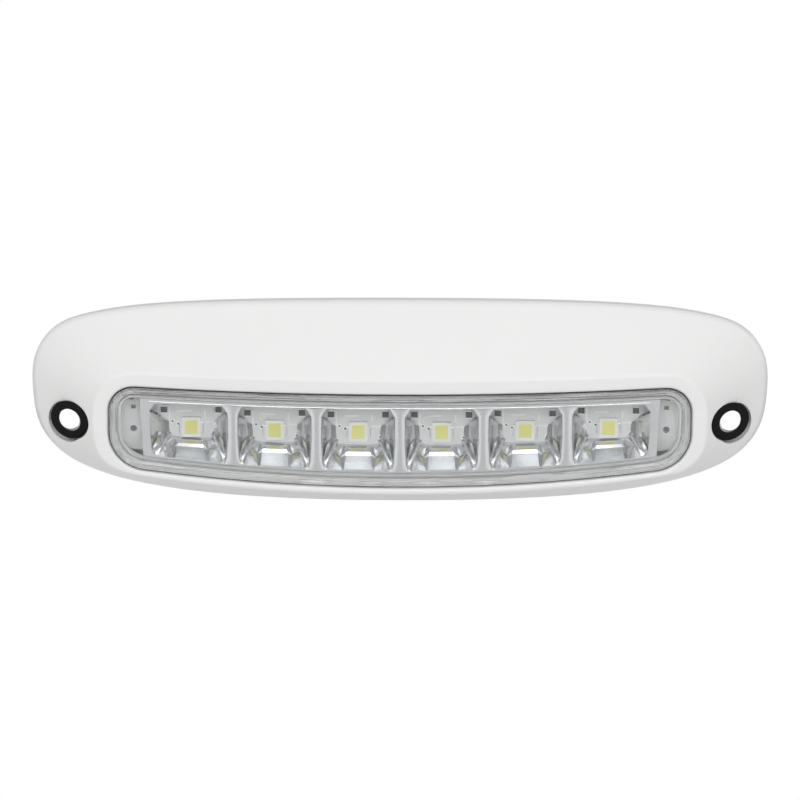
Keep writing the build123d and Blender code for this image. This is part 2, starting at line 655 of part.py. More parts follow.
# ---------------------------------------------------------------- the whole light
def all_parts():
    parts = {
        "housing": make_housing(),
        "lens": make_lens(),
        "lens_seal": make_lens_seal(),
        "reflector": make_reflector(),
        "circuit_board": make_circuit_board(),
        "resistors": make_resistors(),
        "driver_chip": make_driver_chip(),
        "protection_diode": make_protection_diode(),
        "capacitors": make_capacitors(),
        "thermal_pad": make_thermal_pad(),
        "heat_spreader": make_heat_spreader(),
        "board_screws": make_board_screws(),
        "back_cover": make_back_cover(),
        "back_cover_seal": make_cover_seal(),
        "back_cover_screws": make_back_cover_screws(),
        "cable_bush": make_cable_bush(),
        "wall_gasket": make_wall_gasket(),
    }
    for i, x in enumerate(CELL_X, start=1):
        parts[f"led_package_{i}"] = make_led_package(x)
        parts[f"led_phosphor_{i}"] = make_led_phosphor(x)
    for name, x in zip(("screw_grommet_left", "screw_grommet_right"), hole_centres()):
        parts[name] = make_grommet(x)
    return parts


if __name__ == "__main__":
    os.makedirs("parts", exist_ok=True)
    for node, shape in all_parts().items():
        export_step(shape, f"parts/{node}.step")
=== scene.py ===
# %% [markdown]
# # Dressing a hooded pool light
#
# The solids of the light come in as a fixed frame: a white moulded housing with a hood, a clear
# lens, a bright reflector with six faceted cups, a white board with LEDs, rubber rings round the
# two screw holes, and a foam gasket at the back. This script gives each of them the finish of
# the real material, adds the small surface details that are too fine for the solids, and sets
# up a studio round the light. Lengths are in metres. Z is up and the light shines along -Y.

from math import cos, radians, sin

import bmesh
import bpy
from mathutils import Matrix, Vector


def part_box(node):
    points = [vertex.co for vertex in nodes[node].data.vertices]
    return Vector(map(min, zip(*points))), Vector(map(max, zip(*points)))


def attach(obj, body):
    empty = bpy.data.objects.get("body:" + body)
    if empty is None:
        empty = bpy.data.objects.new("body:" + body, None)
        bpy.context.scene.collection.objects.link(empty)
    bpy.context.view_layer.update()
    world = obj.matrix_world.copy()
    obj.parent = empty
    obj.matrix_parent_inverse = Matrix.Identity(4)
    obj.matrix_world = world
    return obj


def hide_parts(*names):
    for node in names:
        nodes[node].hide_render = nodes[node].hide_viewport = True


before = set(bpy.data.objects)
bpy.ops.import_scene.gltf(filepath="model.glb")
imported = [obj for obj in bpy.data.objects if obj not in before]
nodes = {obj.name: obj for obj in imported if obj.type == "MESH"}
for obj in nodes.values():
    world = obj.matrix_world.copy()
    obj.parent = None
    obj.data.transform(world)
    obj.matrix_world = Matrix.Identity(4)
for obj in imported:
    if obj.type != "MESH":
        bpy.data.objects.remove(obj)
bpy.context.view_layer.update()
MM = 0.001
print("nodes:", len(nodes))

# %% [markdown]
# ## The camera
#
# The light is looked at square on, from a little above its middle. A long lens far away keeps
# the shape nearly free of perspective. The small roll is that of a camera that isn't quite level.

# %% Camera
TARGET = Vector((0.0, -8.0, 0.0)) * MM
CAMERA_DISTANCE = 1.8
CAMERA_ELEVATION = radians(2.5)
CAMERA_ROLL = radians(0.15)
VIEW_WIDTH = 179.4 * MM
SENSOR = 36.0

camera_data = bpy.data.cameras.new("studio_camera")
camera_data.sensor_width = SENSOR
camera_data.lens = SENSOR * CAMERA_DISTANCE / VIEW_WIDTH
camera_data.clip_start = 0.05
camera = bpy.data.objects.new("studio_camera", camera_data)
bpy.context.scene.collection.objects.link(camera)
sight = Vector((0.0, -cos(CAMERA_ELEVATION), sin(CAMERA_ELEVATION)))
camera.matrix_world = (
    Matrix.Translation(TARGET + sight * CAMERA_DISTANCE)
    @ sight.to_track_quat("Z", "Y").to_matrix().to_4x4()
    @ Matrix.Rotation(CAMERA_ROLL, 4, "Z")
)
bpy.context.scene.camera = camera
bpy.context.scene.view_settings.view_transform = "Standard"
print("lens, mm:", round(camera_data.lens, 1))

# %% [markdown]
# ## Node helpers
#
# A material is a small graph of nodes. A few helpers keep the graphs short: one makes a node
# and sets its inputs, one joins two sockets, one does a sum on values, and one starts a material
# with the shader that nearly every finish uses.

# %% Node helpers
def add_node(tree, kind, **inputs):
    """A new node with some of its inputs set, by name with underscores for spaces."""
    node = tree.nodes.new(kind)
    for name, value in inputs.items():
        node.inputs[name.replace("_", " ")].default_value = value
    return node


def join(tree, output, target):
    tree.links.new(output, target)


def feed(tree, target, value):
    """Join a socket to the target, or set the target to a number."""
    if isinstance(value, bpy.types.NodeSocket):
        join(tree, value, target)
    else:
        target.default_value = value


def calculate(tree, operation, *values):
    """A Math node fed with sockets or numbers. Returns its output."""
    node = tree.nodes.new("ShaderNodeMath")
    node.operation = operation
    for target, value in zip(node.inputs, values):
        feed(tree, target, value)
    return node.outputs[0]


def scale_colour(tree, colour, share):
    node = tree.nodes.new("ShaderNodeVectorMath")
    node.operation = "SCALE"
    join(tree, colour, node.inputs[0])
    join(tree, share, node.inputs["Scale"])
    return node.outputs[0]


def mix(tree, share, first, second):
    """Mix Shader between two shaders. Returns its output."""
    node = tree.nodes.new("ShaderNodeMixShader")
    for target, value in zip(node.inputs, (share, first, second)):
        join(tree, value, target)
    return node.outputs[0]


def distance_along(tree, vector):
    """Distance to the left or right of the middle, from a vector's X."""
    parts = tree.nodes.new("ShaderNodeSeparateXYZ")
    join(tree, vector, parts.inputs[0])
    return calculate(tree, "ABSOLUTE", parts.outputs["X"])


def shader_output(tree):
    return next(node for node in tree.nodes if node.type == "OUTPUT_MATERIAL")


def new_material(name, colour, **inputs):
    """A material with one Principled shader. Returns the material, its tree and the shader."""
    material = bpy.data.materials.new(name)
    material.use_nodes = True
    tree = material.node_tree
    tree.nodes.clear()
    shader = add_node(tree, "ShaderNodeBsdfPrincipled", Base_Color=(*colour, 1.0), **inputs)
    output = tree.nodes.new("ShaderNodeOutputMaterial")
    join(tree, shader.outputs["BSDF"], output.inputs["Surface"])
    return material, tree, shader


def object_coordinates(tree):
    return tree.nodes.new("ShaderNodeTexCoord").outputs["Object"]


print("helpers ready")

# %% [markdown]
# ## A shared effect: the skin of a moulding
#
# Moulded plastic and rubber are never one flat colour. The mould leaves a fine grain, and the
# colour drifts a little over the piece. Both come from noise in the piece's own coordinates.
# The effect is a node group with a colour and a height, so that the housing, the cover and the
# rubber parts can share it with different values.

# %% Group: moulded skin
CLOUD_SCALE = 30.0
GLOSS_DRIFT = 1.5


def build_moulded_skin():
    group = bpy.data.node_groups.new("moulded_skin", "ShaderNodeTree")
    face = group.interface
    face.new_socket("Colour", in_out="INPUT", socket_type="NodeSocketColor")
    face.new_socket("Drift", in_out="INPUT", socket_type="NodeSocketFloat")
    face.new_socket("Grain Scale", in_out="INPUT", socket_type="NodeSocketFloat")
    face.new_socket("Roughness", in_out="INPUT", socket_type="NodeSocketFloat")
    face.new_socket("Colour", in_out="OUTPUT", socket_type="NodeSocketColor")
    face.new_socket("Roughness", in_out="OUTPUT", socket_type="NodeSocketFloat")
    face.new_socket("Height", in_out="OUTPUT", socket_type="NodeSocketFloat")
    given = group.nodes.new("NodeGroupInput")
    result = group.nodes.new("NodeGroupOutput")
    place = object_coordinates(group)

    cloud = add_node(group, "ShaderNodeTexNoise", Scale=CLOUD_SCALE, Detail=2.0)
    join(group, place, cloud.inputs["Vector"])
    centred = calculate(group, "SUBTRACT", cloud.outputs["Fac"], 0.5)
    drift = calculate(group, "MULTIPLY", centred, given.outputs["Drift"])
    level = calculate(group, "ADD", drift, 1.0)
    tint = scale_colour(group, given.outputs["Colour"], level)
    join(group, tint, result.inputs["Colour"])

    grain = add_node(group, "ShaderNodeTexNoise", Detail=3.0, Roughness=0.6)
    join(group, place, grain.inputs["Vector"])
    join(group, given.outputs["Grain Scale"], grain.inputs["Scale"])
    join(group, grain.outputs["Fac"], result.inputs["Height"])
    gloss = calculate(group, "MULTIPLY_ADD", drift, GLOSS_DRIFT, given.outputs["Roughness"])
    join(group, gloss, result.inputs["Roughness"])
    return group


MOULDED_SKIN = build_moulded_skin()
print("group:", MOULDED_SKIN.name)


# %% A material with the moulded skin
def moulded(
    name, colour, roughness, drift=0.04, grain=2500.0, depth=0.01, strength=0.15, **inputs
):
    """Plastic or rubber with the shared skin. depth is that of the grain, in millimetres."""
    material, tree, shader = new_material(name, colour, **inputs)
    skin = tree.nodes.new("ShaderNodeGroup")
    skin.node_tree = MOULDED_SKIN
    skin.inputs["Colour"].default_value = (*colour, 1.0)
    skin.inputs["Drift"].default_value = drift
    skin.inputs["Grain Scale"].default_value = grain
    skin.inputs["Roughness"].default_value = roughness
    bump = add_node(tree, "ShaderNodeBump", Strength=strength, Distance=depth * MM)
    join(tree, skin.outputs["Height"], bump.inputs["Height"])
    join(tree, bump.outputs["Normal"], shader.inputs["Normal"])
    join(tree, skin.outputs["Colour"], shader.inputs["Base Color"])
    join(tree, skin.outputs["Roughness"], shader.inputs["Roughness"])
    return material


print("moulded() ready")

# %% [markdown]
# ## White housing and black rubber
#
# The housing is a glossy-to-satin white moulding. Rubber is nearly black, and what shows its
# form is the soft shine along its edges.

# %% Moulded materials
white_plastic = moulded("white_plastic", (0.85, 0.85, 0.845), 0.42)
cover_plastic = moulded("cover_plastic", (0.74, 0.74, 0.73), 0.55, depth=0.02)
ring_rubber = moulded(
    "ring_rubber", (0.006, 0.006, 0.006), 0.5, drift=0.3, grain=900.0, Specular_IOR_Level=0.15
)
lens_silicone = moulded("lens_silicone", (0.72, 0.72, 0.72), 0.5, drift=0.1)
cover_silicone = moulded("cover_silicone", (0.12, 0.12, 0.12), 0.6, drift=0.2)
gasket_foam = moulded(
    "gasket_foam", (0.03, 0.03, 0.032), 0.85, drift=0.5, grain=700.0, depth=0.08, strength=0.6
)
pad_silicone = moulded("pad_silicone", (0.20, 0.23, 0.27), 0.7, drift=0.2)
chip_resin = moulded("chip_resin", (0.03, 0.03, 0.032), 0.5, drift=0.4)
capacitor_ceramic = moulded("capacitor_ceramic", (0.25, 0.19, 0.12), 0.5, drift=0.3)
package_resin = moulded("package_resin", (0.72, 0.72, 0.69), 0.35, drift=0.08)
# white mask; further down it gets painted shade round the LEDs
board_mask_and_shade = moulded("board_mask_and_shade", (0.93, 0.935, 0.935), 0.4, drift=0.06)
phosphor_gel = moulded("phosphor_gel", (0.66, 0.64, 0.21), 0.35, drift=0.2, grain=1200.0)
print("moulded materials:", len(bpy.data.materials))

# %% [markdown]
# The board's white is painted greyer round the LEDs, inside the cups, than at the open ends. This
# is painted shade, which tones down how brightly the cups light the board. So the colour is scaled
# by the distance from the middle of the board.

# %% Painted shade on the board round the LEDs
CUP_SHADE_STEP = (55.0, 57.0)
CUP_SHADE_SHARE = 0.66


def paint_shade_round_leds(material):
    """Painted shade: multiply a material's colour by a share that steps up to 1 towards the ends.
    """
    tree = material.node_tree
    shader = next(node for node in tree.nodes if node.type == "BSDF_PRINCIPLED")
    colour = shader.inputs["Base Color"].links[0].from_socket
    share = tree.nodes.new("ShaderNodeMapRange")
    share.inputs["From Min"].default_value = CUP_SHADE_STEP[0] * MM
    share.inputs["From Max"].default_value = CUP_SHADE_STEP[1] * MM
    share.inputs["To Min"].default_value = CUP_SHADE_SHARE
    join(tree, distance_along(tree, object_coordinates(tree)), share.inputs["Value"])
    scaled = scale_colour(tree, colour, share.outputs["Result"])
    join(tree, scaled, shader.inputs["Base Color"])


# painted shade on the board inside the cups, greyer round the LEDs
paint_shade_round_leds(board_mask_and_shade)
print("mask shaded")

# %% [markdown]
# ## Metals
#
# The reflector is plastic under a bright layer of metal laid on in a vacuum. It shines like a
# mirror, but its facets are never perfectly flat, so the bump is a slow wave rather than a
# grain. The screws and the heat spreader are plain metal with a faint brushed look.

# %% Metal materials
GLOSS_RANGE = (0.8, 1.3)
BRUSH_STRETCH = (0.05, 1.0, 1.0)


def metal(name, colour, roughness, wave_scale, wave_depth, stretch=(1.0, 1.0, 1.0)):
    """Metal whose shine varies with a noise, which stretch can draw out into brush marks."""
    material, tree, shader = new_material(name, colour, Metallic=1.0)
    mapping = add_node(tree, "ShaderNodeMapping", Scale=stretch)
    join(tree, object_coordinates(tree), mapping.inputs["Vector"])
    wave = add_node(tree, "ShaderNodeTexNoise", Scale=wave_scale, Detail=2.0)
    join(tree, mapping.outputs["Vector"], wave.inputs["Vector"])
    bump = add_node(tree, "ShaderNodeBump", Strength=1.0, Distance=wave_depth * MM)
    join(tree, wave.outputs["Fac"], bump.inputs["Height"])
    join(tree, bump.outputs["Normal"], shader.inputs["Normal"])
    gloss = add_node(tree, "ShaderNodeMapRange")
    gloss.inputs["To Min"].default_value = roughness * GLOSS_RANGE[0]
    gloss.inputs["To Max"].default_value = roughness * GLOSS_RANGE[1]
    join(tree, wave.outputs["Fac"], gloss.inputs["Value"])
    join(tree, gloss.outputs["Result"], shader.inputs["Roughness"])
    return material


bright_reflector = metal("bright_reflector", (0.72, 0.73, 0.74), 0.16, 350.0, 0.03)
spreader_aluminium = metal(
    "spreader_aluminium", (0.70, 0.71, 0.72), 0.35, 900.0, 0.02, BRUSH_STRETCH
)
screw_steel = metal("screw_steel", (0.55, 0.55, 0.54), 0.30, 1500.0, 0.01)
print("metals ready")

# %% [markdown]
# ## The lens
#
# The lens is clear polycarbonate, which bends light more than window glass. A renderer has
# trouble sending lamp light through a bending surface, so rays on their way to a lamp pass
# straight through, by a Mix Shader that Light Path's Is Shadow Ray switches. A very shallow wave
# keeps the plate from being perfect.

# %% Lens material
LENS_IOR = 1.58
LENS_SHADE = (0.96, 0.97, 0.97, 1.0)
WAVE_SCALE = 25.0
WAVE_STRENGTH = 0.03
WAVE_DEPTH = 0.005


def clear_plastic(name, colour, roughness):
    material, tree, shader = new_material(
        name, colour, Roughness=roughness, IOR=LENS_IOR, Transmission_Weight=1.0
    )
    path = tree.nodes.new("ShaderNodeLightPath")
    clear = add_node(tree, "ShaderNodeBsdfTransparent", Color=LENS_SHADE)
    switch = mix(tree, path.outputs["Is Shadow Ray"], shader.outputs["BSDF"], clear.outputs["BSDF"])
    join(tree, switch, shader_output(tree).inputs["Surface"])
    wave = add_node(tree, "ShaderNodeTexNoise", Scale=WAVE_SCALE, Detail=1.0)
    join(tree, object_coordinates(tree), wave.inputs["Vector"])
    bump = add_node(tree, "ShaderNodeBump", Strength=WAVE_STRENGTH, Distance=WAVE_DEPTH * MM)
    join(tree, wave.outputs["Fac"], bump.inputs["Height"])
    join(tree, bump.outputs["Normal"], shader.inputs["Normal"])
    return material


lens_plastic = clear_plastic("lens_plastic", (0.99, 0.995, 0.995), 0.0)
print("lens material ready")

# %% [markdown]
# ## Every solid gets its finish
#
# A solid's shape stays as it is. Only its material slots are filled.

# %% Assign the finishes
FINISHES = {
    "housing": white_plastic,
    "lens": lens_plastic,
    "lens_seal": lens_silicone,
    "reflector": bright_reflector,
    "circuit_board": board_mask_and_shade,
    "resistors": chip_resin,
    "driver_chip": chip_resin,
    "protection_diode": chip_resin,
    "capacitors": capacitor_ceramic,
    "thermal_pad": pad_silicone,
    "heat_spreader": spreader_aluminium,
    "board_screws": screw_steel,
    "back_cover": cover_plastic,
    "back_cover_seal": cover_silicone,
    "back_cover_screws": screw_steel,
    "cable_bush": ring_rubber,
    "wall_gasket": gasket_foam,
    "led_package": package_resin,
    "led_phosphor": phosphor_gel,
    "screw_grommet": ring_rubber,
}
for name, node in nodes.items():
    family = next(f for f in sorted(FINISHES, key=len, reverse=True) if name.startswith(f))
    node.data.materials.clear()
    node.data.materials.append(FINISHES[family])
print("finished nodes:", len(nodes))

# %% [markdown]
# ## Directions on the face
#
# The lens, the reflector and the board lie parallel to the sloping face, so the small pieces
# are placed along three directions of their own: across the light, up the face and out of it.
# How high the board stands is read from its solid.

# %% Face directions
FACE_TILT = radians(15.0)
FACE_OUT = Vector((0.0, -cos(FACE_TILT), -sin(FACE_TILT)))
FACE_UP = Vector((0.0, -sin(FACE_TILT), cos(FACE_TILT)))
ACROSS = Vector((1.0, 0.0, 0.0))
FACE_TURN = Matrix((ACROSS, FACE_UP, FACE_OUT)).transposed().to_4x4()


def reach(name, direction):
    """How far a solid reaches in a direction."""
    return max(vertex.co.dot(direction) for vertex in nodes[name].data.vertices)


def centre(name):
    low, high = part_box(name)
    return (Vector(low) + Vector(high)) / 2


BOARD_TOP = reach("circuit_board", FACE_OUT)


def on_board(spot, across=0.0, up=0.0):
    """Place on the board's surface, by its distance from a spot in millimetres."""
    place = spot + (ACROSS * across + FACE_UP * up) * MM
    return place + FACE_OUT * (BOARD_TOP - place.dot(FACE_OUT))


leds = [centre(name) for name in sorted(nodes) if name.startswith("led_phosphor")]
print("LEDs:", len(leds), "board top, mm:", round(BOARD_TOP / MM, 2))


# %% Helpers for new pieces
def merged_copy(name):
    """Bmesh of a solid with its doubled vertices merged."""
    sheet = bmesh.new()
    sheet.from_mesh(nodes[name].data)
    bmesh.ops.remove_doubles(sheet, verts=sheet.verts, dist=0.001 * MM)
    return sheet


def finished_piece(name, sheet, material, replaced=()):
    """Turn a bmesh into a piece at the origin that rides on the light."""
    mesh = bpy.data.meshes.new(name)
    sheet.to_mesh(mesh)
    sheet.free()
    # a copied solid brings its old normals along, and they scramble what glass shows
    if mesh.has_custom_normals:
        mesh.attributes.remove(mesh.attributes["custom_normal"])
    mesh.materials.append(material)
    piece = bpy.data.objects.new(name, mesh)
    bpy.context.scene.collection.objects.link(piece)
    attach(piece, "root")
    if replaced:
        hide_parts(*replaced)
    return piece


def add_block(sheet, place, size, rounding=0.0):
    """Small block lying on the face, its back at the place; size and rounding in millimetres."""
    width, height, depth = size
    middle = place + FACE_OUT * depth / 2 * MM
    grown = Matrix.Diagonal((width * MM, height * MM, depth * MM, 1.0))
    matrix = Matrix.Translation(middle) @ FACE_TURN @ grown
    block = bmesh.ops.create_cube(sheet, size=1.0, matrix=matrix)
    if rounding:
        edges = list({edge for vert in block["verts"] for edge in vert.link_edges})
        bmesh.ops.bevel(
            sheet, geom=edges, affect="EDGES", offset=rounding * MM,
            segments=2, profile=0.5, material=-1,
        )


def add_disc(sheet, place, radius, depth):
    """Small disc lying on the face."""
    matrix = Matrix.Translation(place + FACE_OUT * depth / 2 * MM) @ FACE_TURN
    bmesh.ops.create_cone(
        sheet, cap_ends=True, segments=20, radius1=radius * MM, radius2=radius * MM,
        depth=depth * MM, matrix=matrix,
    )


print("piece helpers ready")

# %% [markdown]
# ## The reflector's rims
#
# On the real reflector the plastic rounds every rim before the metal goes on, and those rounded
# rims catch the light as thin bright lines. The walls between the cups get a half-round bead as
# wide as the wall, which spreads where the wall meets the long rims. The long rim above the
# cups gets a narrow bead that follows its arc. A bead is a grid whose points are bent into a
# half-round section.

# %% Places on the reflector's front
FACE_ORIGIN = Vector((0.0, -17.1, -8.2)) * MM
CELL_PITCH = 18.7
REFLECTOR_FRONT = reach("reflector", FACE_OUT) - FACE_ORIGIN.dot(FACE_OUT)
# radii of the arcs of the two long rims, and how far up the face each rim's middle lies
UPPER_ARC = 990.0
LOWER_ARC = 415.0
UPPER_EDGE = 6.95
LOWER_EDGE = -8.8


def on_front(across, up, lift):
    """Place on the front of the reflector, in millimetres from the middle of the face."""
    level = REFLECTOR_FRONT + lift * MM
    return FACE_ORIGIN + (ACROSS * across + FACE_UP * up) * MM + FACE_OUT * level


def upper_edge(across):
    return UPPER_EDGE + across * across / (2 * UPPER_ARC)


def lower_edge(across):
    return LOWER_EDGE + across * across / (2 * LOWER_ARC)


print("reflector front, mm:", round(REFLECTOR_FRONT / MM, 2))


# %% Half-round beads
BEAD_SEGMENTS = 10
BEAD_SINK = 0.03


def add_bead(sheet, steps, spine, half_width, height, upright):
    """Half-round bead along a spine, whose place and half width follow a share from 0 to 1."""
    grid = bmesh.ops.create_grid(sheet, x_segments=BEAD_SEGMENTS, y_segments=steps, size=1.0)
    for vert in grid["verts"]:
        angle = vert.co.x * radians(90)
        share = (vert.co.y + 1) / 2
        across, up = spine(share)
        beside = sin(angle) * half_width(share)
        if upright:
            across += beside
        else:
            up += beside
        vert.co = on_front(across, up, cos(angle) * height - BEAD_SINK)
    faces = list({face for vert in grid["verts"] for face in vert.link_faces})
    bmesh.ops.recalc_face_normals(sheet, faces=faces)
    if sum(face.normal.dot(FACE_OUT) for face in faces) < 0:
        bmesh.ops.reverse_faces(sheet, faces=faces)
    for face in faces:
        face.smooth = True


# half width of a wall's bead at shares of the way up
WALL_HALF_WIDTHS = (
    (0.0, 2.9), (0.04, 2.1), (0.13, 1.6), (0.5, 1.32), (0.88, 1.38), (0.95, 1.9), (1.0, 2.6),
)
WALL_BEAD_HEIGHT = 0.34
WALL_STEPS = 40
WALL_FOOT = 0.5
WALL_HEAD = 0.7
RIM_STEPS = 80
RIM_END = 56.0
RIM_DROP = 0.6
RIM_BEAD = 0.2


def wall_half_width(share):
    for (start, wide), (end, narrow) in zip(WALL_HALF_WIDTHS, WALL_HALF_WIDTHS[1:]):
        if share <= end:
            return wide + (narrow - wide) * (share - start) / (end - start)
    return WALL_HALF_WIDTHS[-1][1]


def rim_spine(share):
    across = RIM_END * (2 * share - 1)
    return across, upper_edge(across) - RIM_DROP


beads = bmesh.new()
for wall in range(-2, 3):
    middle = wall * CELL_PITCH
    low, high = lower_edge(middle) + WALL_FOOT, upper_edge(middle) - WALL_HEAD
    add_bead(
        beads, WALL_STEPS, lambda share: (middle, low + (high - low) * share), wall_half_width,
        WALL_BEAD_HEIGHT, True,
    )
add_bead(beads, RIM_STEPS, rim_spine, lambda share: RIM_BEAD, RIM_BEAD, False)
finished_piece("reflector_beads", beads, bright_reflector)
print("beads ready")

# %% [markdown]
# Below each LED two ribs run from the board out to the feet of the walls. Each gets a rounded
# crest: circles set square to the way it runs, bridged one to the next. The crests don't follow
# the facets of the solid exactly, so here and there they stand clear of them.

# %% Crests of the slanting ribs
# how far up the face the LEDs lie, and how deep the cups are
LED_RISE = -0.9
REFLECTOR_DEPTH = 6.1
CREST_SEGMENTS = 14
# shares of the depth, of half the cell across and of the room below the LED, and the radius
CREST_SHARES = (
    (0.04, 0.51, 0.26, 0.34), (0.20, 0.56, 0.36, 0.40), (0.44, 0.635, 0.50, 0.44),
    (0.70, 0.72, 0.68, 0.50), (0.91, 0.80, 0.84, 0.56),
)


def crest_place(led_x, side, depth_share, across_share, below_share):
    """Middle of the crest at a share of the way from the board to the front."""
    rise = LED_RISE + led_x * led_x / (2 * UPPER_ARC)
    across = led_x + side * across_share * CELL_PITCH / 2
    below = below_share * (rise - lower_edge(across))
    return on_front(across, rise - below, -REFLECTOR_DEPTH * (1 - depth_share))


crests = bmesh.new()
for cell in range(len(leds)):
    led_x = (cell - (len(leds) - 1) / 2) * CELL_PITCH
    for side in (-1, 1):
        places = [crest_place(led_x, side, *shares[:3]) for shares in CREST_SHARES]
        previous = None
        for index, place in enumerate(places):
            before, after = places[max(index - 1, 0)], places[min(index + 1, len(places) - 1)]
            turn = (after - before).to_track_quat("Z", "Y").to_matrix().to_4x4()
            ring = bmesh.ops.create_circle(
                crests, segments=CREST_SEGMENTS, radius=CREST_SHARES[index][3] * MM,
                matrix=Matrix.Translation(place) @ turn,
            )
            loop = list({edge for vert in ring["verts"] for edge in vert.link_edges})
            if previous:
                bmesh.ops.bridge_loops(crests, edges=previous + loop)
            previous = loop
bmesh.ops.holes_fill(crests, edges=crests.edges, sides=0)
bmesh.ops.recalc_face_normals(crests, faces=crests.faces)
for face in crests.faces:
    face.smooth = len(face.verts) == 4
finished_piece("reflector_crests", crests, bright_reflector)
print("crests ready")

# %% [markdown]
# ## The lens in its glue
#
# Behind the lens stands a low rib that sits in a bead of grey sealing glue. Through the clear
# plate the rib therefore shows as a grey band. A copy of the lens gets the glue as a second
# material on the faces of that rib. The two broad faces are shaded flat and the rest smooth,
# with the sharp edges marked by angle.

# %% Lens with a glued rib
PLATE_THICKNESS = 2.0
EDGE_ANGLE = radians(30.0)
FLAT = 0.999
GLUE_MARGIN = 0.02
glue_grey = moulded("glue_grey", (0.78, 0.78, 0.78), 0.55, drift=0.15)
plate_back = reach("lens", FACE_OUT) - PLATE_THICKNESS * MM
pane = merged_copy("lens")
for face in pane.faces:
    face.smooth = abs(face.normal.dot(FACE_OUT)) < FLAT
    if face.calc_center_median().dot(FACE_OUT) < plate_back - GLUE_MARGIN * MM:
        face.material_index = 1
pane_piece = finished_piece("lens_pane", pane, lens_plastic, ["lens"])
pane_piece.data.materials.append(glue_grey)
pane_piece.data.set_sharp_from_angle(angle=EDGE_ANGLE)
print("lens pane ready")

# %% [markdown]
# A thin, nearly black strip stands in the joint between the lens and the housing and shows as a
# dark line all round: painted shade for the shadow in that gap. It is a band of faces put outside
# the rim of the plate.

# %% Painted shade in the joint round the lens
LIP_WIDTH = 0.22
LIP_SINK = 0.12
LIP_DEPTH = 0.3
RIM_DEPTH = 0.5
UPRIGHT = 0.01
# nearly black strip: painted shade in the gap round the lens
joint_shade_strip = moulded("joint_shade_strip", (0.035, 0.035, 0.035), 0.6, drift=0.2)
plate = merged_copy("lens")
front = reach("lens", FACE_OUT)


def is_wall(face):
    """Face that stands square to the plate."""
    return abs(face.normal.dot(FACE_OUT)) < UPRIGHT


def is_rim(edge):
    """Edge of the plate's outer wall on the side of the front."""
    if any(vert.co.dot(FACE_OUT) < front - RIM_DEPTH * MM for vert in edge.verts):
        return False
    upright = [is_wall(face) for face in edge.link_faces]
    return len(upright) == 2 and upright.count(True) == 1


def outward(vert):
    """Direction away from the plate at a point of its rim."""
    return sum((face.normal for face in vert.link_faces if is_wall(face)), Vector()).normalized()


rim = [edge for edge in plate.edges if is_rim(edge)]
lip = bmesh.new()
rim_verts = dict.fromkeys(vert for edge in rim for vert in edge.verts)
inner = {vert: lip.verts.new(vert.co - FACE_OUT * LIP_SINK * MM) for vert in rim_verts}
outer = {vert: lip.verts.new(inner[vert].co + outward(vert) * LIP_WIDTH * MM) for vert in rim_verts}
for edge in rim:
    start, end = edge.verts
    lip.faces.new((inner[start], inner[end], outer[end], outer[start]))
plate.free()
bmesh.ops.recalc_face_normals(lip, faces=lip.faces)
bmesh.ops.solidify(lip, geom=list(lip.faces), thickness=LIP_DEPTH * MM)
bmesh.ops.recalc_face_normals(lip, faces=lip.faces)
print("rim edges:", len(rim))
finished_piece("lens_joint_shade", lip, joint_shade_strip)

# %% [markdown]
# ## Small parts on the board
#
# Each LED is soldered at both ends, and a bright fillet of solder shows beside its package.
# The dark chips have tinned ends. Between them run tracks, which show as faint ridges because
# the white mask covers them, and small holes that carry the current through the board. The holes
# are not cut: each is a dark disc, painted shade that stands in for the inside of the hole.

# %% Materials of the board's small parts
solder_tin = metal("solder_tin", (0.66, 0.67, 0.68), 0.32, 1800.0, 0.02)
track_mask = moulded("track_mask", (0.74, 0.75, 0.75), 0.35, drift=0.08)
# dark discs: painted shade for the inside of the holes through the board
via_hole_shade = moulded("via_hole_shade", (0.05, 0.06, 0.055), 0.5, drift=0.3)

# %% Solder beside the LEDs and on the chips
FILLET_PLACE = (2.3, -0.2)
FILLET_SIZE = (0.9, 2.6, 0.35)
FILLET_ROUNDING = 0.15
CHIP_PLACE = (6.1, 4.05)
CHIP_END = 0.85
CHIP_END_SIZE = (1.5, 0.3, 0.56)
CHIP_END_ROUNDING = 0.06
solder = bmesh.new()
for led in leds:
    for side in (-1, 1):
        fillet = on_board(led, side * FILLET_PLACE[0], FILLET_PLACE[1])
        add_block(solder, fillet, FILLET_SIZE, FILLET_ROUNDING)
        for end in (-1, 1):
            tinned = on_board(led, side * CHIP_PLACE[0], CHIP_PLACE[1] + end * CHIP_END)
            add_block(solder, tinned, CHIP_END_SIZE, CHIP_END_ROUNDING)
finished_piece("solder_joints", solder, solder_tin)
print("solder joints ready")

# %% Tracks under the mask and holes through the board
TRACK_WIDTH = 0.35
TRACK_HEIGHT = 0.06
# place from the LED, width and height of each track
TRACKS = (
    (-4.9, 2.9, TRACK_WIDTH, 3.4), (4.6, 1.1, 3.6, TRACK_WIDTH),
    (-1.6, 3.6, 3.2, TRACK_WIDTH), (3.1, 3.0, TRACK_WIDTH, 1.6),
)
VIAS = ((-2.95, 0.6), (4.9, -1.4), (-4.2, 1.2))
VIA_RADIUS = 0.24
VIA_PAD_RADIUS = 2.2 * VIA_RADIUS
VIA_PROUD = 0.02
tracks = bmesh.new()
vias = bmesh.new()
for led in leds:
    for across, up, width, height in TRACKS:
        add_block(tracks, on_board(led, across, up), (width, height, TRACK_HEIGHT))
    for across, up in VIAS:
        add_disc(tracks, on_board(led, across, up), VIA_PAD_RADIUS, TRACK_HEIGHT)
        add_disc(vias, on_board(led, across, up), VIA_RADIUS, TRACK_HEIGHT + VIA_PROUD)
finished_piece("masked_tracks", tracks, track_mask)
finished_piece("via_holes", vias, via_hole_shade)
print("tracks and vias ready")

